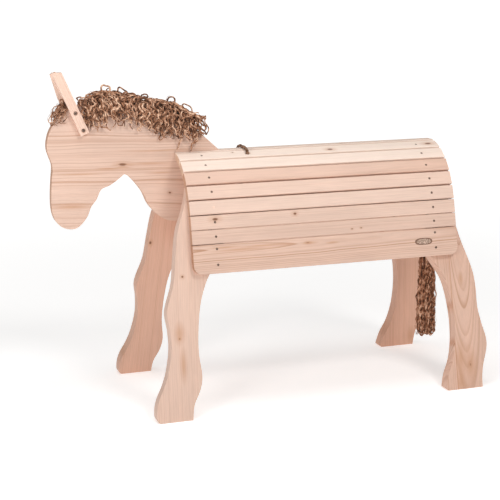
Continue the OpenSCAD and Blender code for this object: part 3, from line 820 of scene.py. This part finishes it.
BADGE_X, BADGE_FROM_Y, BADGE_Z = -0.433, 0.30, 0.437
BADGE_HALF_LONG = 0.027
board = frame["nodes"]["side_board_left"]
_, badge_at, badge_outward, _ = board.ray_cast(Vector((BADGE_X, BADGE_FROM_Y, BADGE_Z)),
                                               Vector((0, -1, 0)))
badge, print_tree, badge_shader = new_material("badge_print")
badge_spot = print_tree.add("ShaderNodeMapping", vector_type="POINT", inputs={
    "Vector": print_tree.add("ShaderNodeTexCoord", "Object"), "Location": tuple(-badge_at)})
badge_oval = print_tree.vector("LENGTH", print_tree.vector(
    "MULTIPLY", badge_spot, (1 / BADGE_HALF_LONG, 0, 1 / 0.0092)), out="Value")
badge_grain = print_tree.noise(print_tree.vector("MULTIPLY", badge_spot, (300, 300, 560)),
                               1.0, 3, 0.6)
badge_tone = print_tree.ramp(badge_grain, (0.40, (0.17, 0.10, 0.065)),
                             (0.62, (0.72, 0.52, 0.41)))
print_tree.feed(badge_shader, {
    "Base Color": blended(print_tree, print_tree.graded(badge_oval, 0.80, 0.90, 0, 1),
                          badge_tone, (0.20, 0.10, 0.06, 1)),
    "Roughness": print_tree.times(badge_grain, 0.2, 0.35),
    "Normal": print_tree.bump(badge_grain, 0.2, 0.0002)})
disc("oval_badge", badge_at, badge_outward, BADGE_HALF_LONG, 0.0098,
     ((1.0, -0.0004), (1.0, 0.0006), (0.97, 0.0010), (0.90, 0.0010), (0.87, 0.0006)),
     badge, sides=56, power=2.6)

# ----------------------------------------
# Mane. Thick yarns of unlaid brown rope, still crimped from the rope's lay,
# fixed along the crest and tumbling to both sides, with a tuft between the
# ears; finer fibres stand off them everywhere.


def yarn_tree():
    """Crimped yarns swept along lines, each with its own phase and thickness."""
    t, size = shape_tree("crimped_yarn", {
        "Yarn Thickness": 0.004, "Crimp Depth": 0.003, "Crimp Length": 0.018, "Stray": 0.004,
        "Step": 0.003, "Sides": 4, "Seed": 3})
    line = t.add("GeometryNodeResampleCurve", mode="LENGTH", inputs={
        "Curve": size["Geometry"], "Length": size["Step"]})

    def each(low, high, offset):
        pick = t.add("FunctionNodeRandomValue", 1, data_type="FLOAT", inputs={
            2: low, 3: high, "Seed": t.math("ADD", size["Seed"], float(offset))})
        return t.add("GeometryNodeFieldOnDomain", "Value", {0: pick}, data_type="FLOAT",
                     domain="CURVE")

    travelled = t.add("GeometryNodeSplineParameter", "Length")
    share = t.add("GeometryNodeSplineParameter", "Factor")
    place = t.add("GeometryNodeInputPosition")
    mood = t.noise(place, 55.0, 1.0)
    turns = t.math("DIVIDE", travelled, t.times(size["Crimp Length"], each(0.75, 1.35, 2)))
    phase = t.times(t.math("ADD", each(0, 1, 1), turns), math.tau)
    reach = t.times(size["Crimp Depth"],
                    t.times(mood, 2.2, t.math("SUBTRACT", each(0.0, 0.6, 3), 0.5)))
    crimp = around_line(t, phase, reach)
    spread = t.noise(t.vector("ADD", place, t.combine(each(0, 9, 4), each(0, 9, 5))),
                     26.0, 1.0, out="Color")
    stray = t.vector("SCALE", t.vector("SUBTRACT", spread, (0.5, 0.5, 0.5)),
                     scale=t.times(size["Stray"], t.times(share, 1.7, 0.5)))
    bent = t.add("GeometryNodeSetPosition", inputs={
        "Geometry": line, "Offset": t.vector("ADD", crimp, stray)})
    taper = t.times(t.math("POWER", share, 6.0), 0.45)
    thick = t.times(each(0.75, 1.2, 6), t.math("SUBTRACT", 1.0, taper))
    section = t.add("GeometryNodeCurvePrimitiveCircle", inputs={
        "Resolution": size["Sides"], "Radius": t.times(size["Yarn Thickness"], 0.5)})
    toned = t.add("GeometryNodeStoreNamedAttribute", "Geometry", {
        "Geometry": bent, "Name": "tone", "Value": each(0, 1, 7)},
        data_type="FLOAT", domain="POINT")
    sweep = t.add("GeometryNodeCurveToMesh", None, {
        "Curve": toned, "Profile Curve": section, "Fill Caps": True})
    if "Scale" in sweep.inputs:
        t.feed(sweep, {"Scale": thick})
    return finish_tree(t, sweep.outputs[0], size["Finish"])


def yarn_finish(name, shadow, body_tone, light):
    """The rope's fibre, each yarn a little lighter or darker than its neighbours."""
    material = fibre_finish(name, shadow, body_tone, light, patch=85, streak=800)
    t = Tree(material.node_tree)
    ramp = next(n for n in t.tree.nodes if n.type == "VALTORGB")
    mixed = ramp.inputs["Fac"].links[0].from_socket
    tone = t.add("ShaderNodeAttribute", "Fac", attribute_name="tone")
    lifted = t.math("ADD", mixed, t.times(tone, 0.24, -0.12))
    t.tree.links.new(lifted, ramp.inputs["Fac"])
    return material


yarn_shape = yarn_tree()
mane_finish = yarn_finish("mane_yarn", (0.075, 0.028, 0.013), (0.37, 0.165, 0.086),
                          (0.86, 0.58, 0.41))
HEAD_HALF = 0.014
slat_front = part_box("ridge_slat")[1].x
back_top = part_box("ridge_slat")[1].z
# Along the crest from the ears back: ahead of the slats' front ends, then above
# the back for the crest, the mane's top and its lower edge on the left side.
MANE_ROWS = [(0.262, 0.140, 0.170, 0.072), (0.245, 0.142, 0.174, 0.074),
             (0.223, 0.144, 0.178, 0.064), (0.189, 0.142, 0.182, 0.074),
             (0.158, 0.138, 0.176, 0.086), (0.135, 0.135, 0.168, 0.104),
             (0.108, 0.130, 0.166, 0.082), (0.073, 0.124, 0.156, 0.056),
             (0.033, 0.112, 0.148, 0.034), (-0.001, 0.100, 0.140, 0.036),
             (-0.037, 0.083, 0.118, 0.026), (-0.066, 0.061, 0.104, 0.028),
             (-0.080, 0.052, 0.098, 0.036)]


def mane_row(x):
    """The crest, top and lower edge at x, between the nearest two rows."""
    x = min(max(x, MANE_ROWS[-1][0]), MANE_ROWS[0][0])
    for a, b in zip(MANE_ROWS, MANE_ROWS[1:]):
        if b[0] <= x <= a[0]:
            w = (a[0] - x) / (a[0] - b[0])
            return [a[i] + (b[i] - a[i]) * w for i in (1, 2, 3)]


EAR_FOOT_X, EAR_FOOT_Z, EAR_BACK = 0.256, 0.064, 0.0136
EAR_CLEAR = 0.006
CROWN_STEP = 0.014


def on_horse(route):
    """The route from ahead of the slats and above the back into the frame."""
    return [(slat_front + x, y, back_top + z) for x, y, z in route]


def ear_edge(z, reach):
    """x of the ear strip's edge at that height, so far ahead of its middle line."""
    return EAR_FOOT_X + reach + max(0.0, z - EAR_FOOT_Z) * math.tan(EAR_LEAN)


def behind_ear(route):
    """The route in the frame, kept behind the ear strip's rear edge."""
    return on_horse((min(x, ear_edge(z, -EAR_BACK) - EAR_CLEAR), y, z) for x, y, z in route)


def mane_route(dice, side, layer):
    """One yarn: up from the crest, over, and down the side in a loose curl."""
    x = dice.uniform(-0.074, 0.262)
    crest, top, low = mane_row(x)
    rise = crest + (top - crest) * dice.uniform(0.15, 0.85) - 0.004
    sway = dice.gauss(0, 0.012)
    drift = dice.uniform(-0.030, 0.012)
    end_x = x + drift
    end = mane_row(end_x)[2] + abs(dice.gauss(0, 0.020)) + 0.006
    out = HEAD_HALF + 0.0055 + (0.007 * layer) + dice.uniform(0, 0.005)
    route = [(x, side * dice.uniform(0.0, 0.008), crest - 0.004),
             (x + sway * 0.5, side * 0.008, crest + (rise - crest) * 0.6),
             (x + sway, side * (0.010 + 0.004 * layer), rise),
             (x + sway + dice.gauss(0, 0.007), side * (out + 0.003), rise - 0.012)]
    drop = rise - 0.012 - end
    steps = max(2, round(drop / 0.016))
    for i in range(1, steps + 1):
        w = i / steps
        route.append((x + sway + (end_x - x) * w + dice.gauss(0, 0.0065),
                      side * (out + dice.uniform(-0.001, 0.005)), rise - 0.012 - drop * w))
    if dice.random() < 0.45:  # the tip curls away
        tip = route[-1]
        route.append((tip[0] + dice.choice((-1, 1)) * dice.uniform(0.005, 0.011),
                      tip[1] + side * 0.003, tip[2] + dice.uniform(-0.002, 0.006)))
    return behind_ear(route)


def crown_route(dice, side):
    """A yarn tangled in the mass over the crest, sweeping back and down."""
    x = dice.uniform(-0.066, 0.262)
    crest, top, _ = mane_row(x)
    z = crest + (top - crest - 0.005) * dice.random() ** 0.6
    y = side * dice.uniform(0.0, 0.014)
    heading = dice.uniform(2.6, 4.3)
    route = [(x, y, z)]
    for _ in range(dice.randint(4, 6)):
        x += CROWN_STEP * math.cos(heading)
        z += CROWN_STEP * math.sin(heading)
        heading += dice.gauss(0.05, 0.5)
        crest, top, _ = mane_row(x)
        z = min(z, top - 0.003)
        y += side * dice.uniform(0.0005, 0.0055)
        if z < crest + 0.004:
            y = side * max(abs(y), HEAD_HALF + 0.007)
        route.append((max(x, -0.088), y, z))
    return behind_ear(route)


def tuft_route(dice, side):
    """A forelock yarn: forward between the ears, then down over the forehead."""
    x = dice.uniform(0.262, 0.306)
    y = side * dice.uniform(0.0, 0.010)
    reach = dice.uniform(0.018, 0.052)
    fall = dice.uniform(0.004, 0.026)
    out = side * (HEAD_HALF + 0.005 + dice.uniform(0, 0.006))
    crest = 0.140 - max(0.0, x - 0.28) * 0.6
    route = [(x, y, crest - 0.004),
             (x + 0.3 * reach, y * 1.2, crest + dice.uniform(0.010, 0.030)),
             (x + 0.75 * reach, out * 0.9, crest + dice.uniform(0.000, 0.014) - 0.008),
             (min(x + reach, 0.352) + dice.gauss(0, 0.004), out * 1.15,
              crest - 0.4 * fall - 0.012),
             (min(x + reach + 0.004, 0.356), out * 1.1, crest - fall - 0.014)]
    if dice.random() < 0.5:
        tip = route[-1]
        route.append((tip[0] - dice.uniform(0.004, 0.010), tip[1], tip[2] - 0.002))
    return on_horse(route)


def beside_ear(x, y, z):
    """Whether a point of the frame is outside the board and not ahead of the ear."""
    ahead = x - slat_front > ear_edge(z - back_top, EAR_BACK) + 0.004
    return abs(y) >= HEAD_HALF - 0.001 and not ahead


dice = random.Random(41)
YARN = {"Yarn Thickness": 0.0046, "Crimp Depth": 0.0027, "Crimp Length": 0.028,
        "Stray": 0.011, "Step": 0.0030, "Sides": 6, "Finish": mane_finish}
HAIR = {"Yarn Thickness": 0.0011, "Crimp Depth": 0.0040, "Crimp Length": 0.021,
        "Stray": 0.015, "Step": 0.0036, "Sides": 3, "Finish": mane_finish}
for side_name, side in (("left", 1), ("right", -1)):
    routes = [eased_line(mane_route(dice, side, (i % 3) / 2), 4) for i in range(135)]
    routes += [eased_line(crown_route(dice, side), 4) for _ in range(110)]
    if side == 1:  # two thin strands hang well below the rest
        for x, low in ((-0.012, 0.008), (-0.052, 0.004)):
            routes.append(eased_line(on_horse(
                (x + dx, HEAD_HALF + 0.009, z) for dx, z in
                ((0, 0.050), (-0.003, 0.036), (0.002, 0.022), (0.006, low))), 4))
    # A few yarns stand up from the crest in loops of their own.
    for x, height in ((0.192, 0.014), (0.128, 0.004), (0.004, 0.018)):
        x += 0.024 * (side - 1)
        crest, top, _ = mane_row(x)
        base = [(x + 0.016, 0.004 * side, crest), (x + 0.014, 0.010 * side, top - 0.012),
                (x + 0.010, 0.010 * side, top + height * 0.8), (x, 0.006 * side, top + height),
                (x - 0.010, 0.008 * side, top + height * 0.55),
                (x - 0.013, 0.013 * side, top - 0.008), (x - 0.010, 0.018 * side, crest)]
        routes.append(eased_line(on_horse(base), 4))
    mane = grown(f"mane_{side_name}", lines("mane_lines", routes), yarn_shape,
                 dict(YARN, Seed=5 + side), "horse")
    if side_name == "left":
        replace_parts(mane, "mane")
    fray = [routes[i] for i in range(0, len(routes), 3)]
    grown(f"mane_fibres_{side_name}", lines("fibre_lines", fray), yarn_shape,
          dict(HAIR, Seed=15 + side), "horse")

tuft = []
while len(tuft) < 34:
    route = tuft_route(dice, dice.choice((-1, 1)))
    if not any(beside_ear(*p) for p in route):
        tuft.append(eased_line(route, 4))
grown("forelock", lines("forelock_lines", tuft), yarn_shape,
      dict(YARN, Seed=31, **{"Yarn Thickness": 0.0032, "Stray": 0.004}), "horse")
grown("forelock_fibres", lines("forelock_fibre_lines", tuft), yarn_shape,
      dict(HAIR, Seed=37, Stray=0.008), "horse")

# ----------------------------------------
# Tail. A hank of the same yarns folded over the cord's eye, bound under it,
# and left to hang; its yarns open out towards their frayed, curling ends.
tail_low, tail_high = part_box("tail_hank")
TAIL_TIP_R = (tail_high.y - tail_low.y) / 2
TAIL_NECK_R = 0.0150
fold_z = eye_z - EYE_RADIUS + ROPE_DIAMETER / 2
bind_z = tail_high.z - 0.040
tail_dice = random.Random(8)


def tail_half(angle, share, end_z):
    """One half of a folded yarn, from the binding down to its end."""
    route = []
    lean = tail_dice.uniform(-0.25, 0.25)
    steps = 11
    for i in range(steps + 1):
        w = i / steps
        z = bind_z + (end_z - bind_z) * w
        spread = TAIL_NECK_R + (TAIL_TIP_R - 0.006 - TAIL_NECK_R) * min(1, 1.25 * w) ** 0.8
        r = share * spread + tail_dice.gauss(0, 0.0012 + 0.0022 * w)
        r = min(abs(r), TAIL_TIP_R - 0.004)
        a = angle + lean * w + tail_dice.gauss(0, 0.05)
        route.append((eye_x + r * math.cos(a), r * math.sin(a), z))
    if tail_dice.random() < 0.6:  # the end curls up on itself
        x, y, z = route[-1]
        way = tail_dice.uniform(0, math.tau)
        curl = tail_dice.uniform(0.004, 0.008)
        route += [(x + curl * math.cos(way), y + curl * math.sin(way), z - 0.004),
                  (x + 1.6 * curl * math.cos(way), y + 1.6 * curl * math.sin(way), z + 0.004)]
    return route


folded = []
TAIL_YARNS = 44
GOLDEN_ANGLE = 2.39996
for i in range(TAIL_YARNS):
    share = math.sqrt((i + 0.5) / TAIL_YARNS)
    angle = i * GOLDEN_ANGLE
    ends = []
    for side in (1, -1):
        a = angle if side == 1 else -angle
        ends.append(tail_half(a % math.tau, share, tail_low.z + abs(tail_dice.gauss(0, 0.016))
                              + 0.012))
    over_x = eye_x + 0.5 * share * 0.012 * math.cos(angle)
    lift = 0.0022 + 0.004 * tail_dice.random()
    arch = [(over_x, side * y, z) for side, y, z in (
        (1, 0.0105, bind_z + 0.020), (1, 0.0085, fold_z - 0.006), (1, 0.0045, fold_z + lift),
        (-1, 0.0045, fold_z + lift), (-1, 0.0085, fold_z - 0.006), (-1, 0.0105, bind_z + 0.020))]
    first, second = sorted(ends, key=lambda e: -e[0][1])
    folded.append(eased_line(list(reversed(first)) + arch + second, 4))
tail_finish = yarn_finish("tail_yarn", (0.060, 0.022, 0.010), (0.40, 0.165, 0.082),
                          (0.92, 0.60, 0.42))
TAIL = dict(YARN, Finish=tail_finish, Seed=52, **{
    "Crimp Depth": 0.0017, "Stray": 0.005, "Step": 0.0036})
tail = grown("tail_strands", lines("tail_lines", folded), yarn_shape, TAIL, "tail")
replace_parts(tail, "tail_hank")
grown("tail_fibres", lines("tail_fibre_lines", folded), yarn_shape,
      dict(HAIR, Finish=tail_finish, Seed=58, **{"Step": 0.0050, "Stray": 0.010}),
      "tail")
BIND_TURNS = 5
BIND_RADIUS = TAIL_NECK_R * 1.12
bind_route = [(eye_x + BIND_RADIUS * math.cos(math.tau * i / 24),
               BIND_RADIUS * math.sin(math.tau * i / 24),
               bind_z + 0.004 - 0.0040 * i / 24) for i in range(24 * BIND_TURNS + 1)]
laid_rope("tail_binding", bind_route, 0.0042, 0.013, "tail")
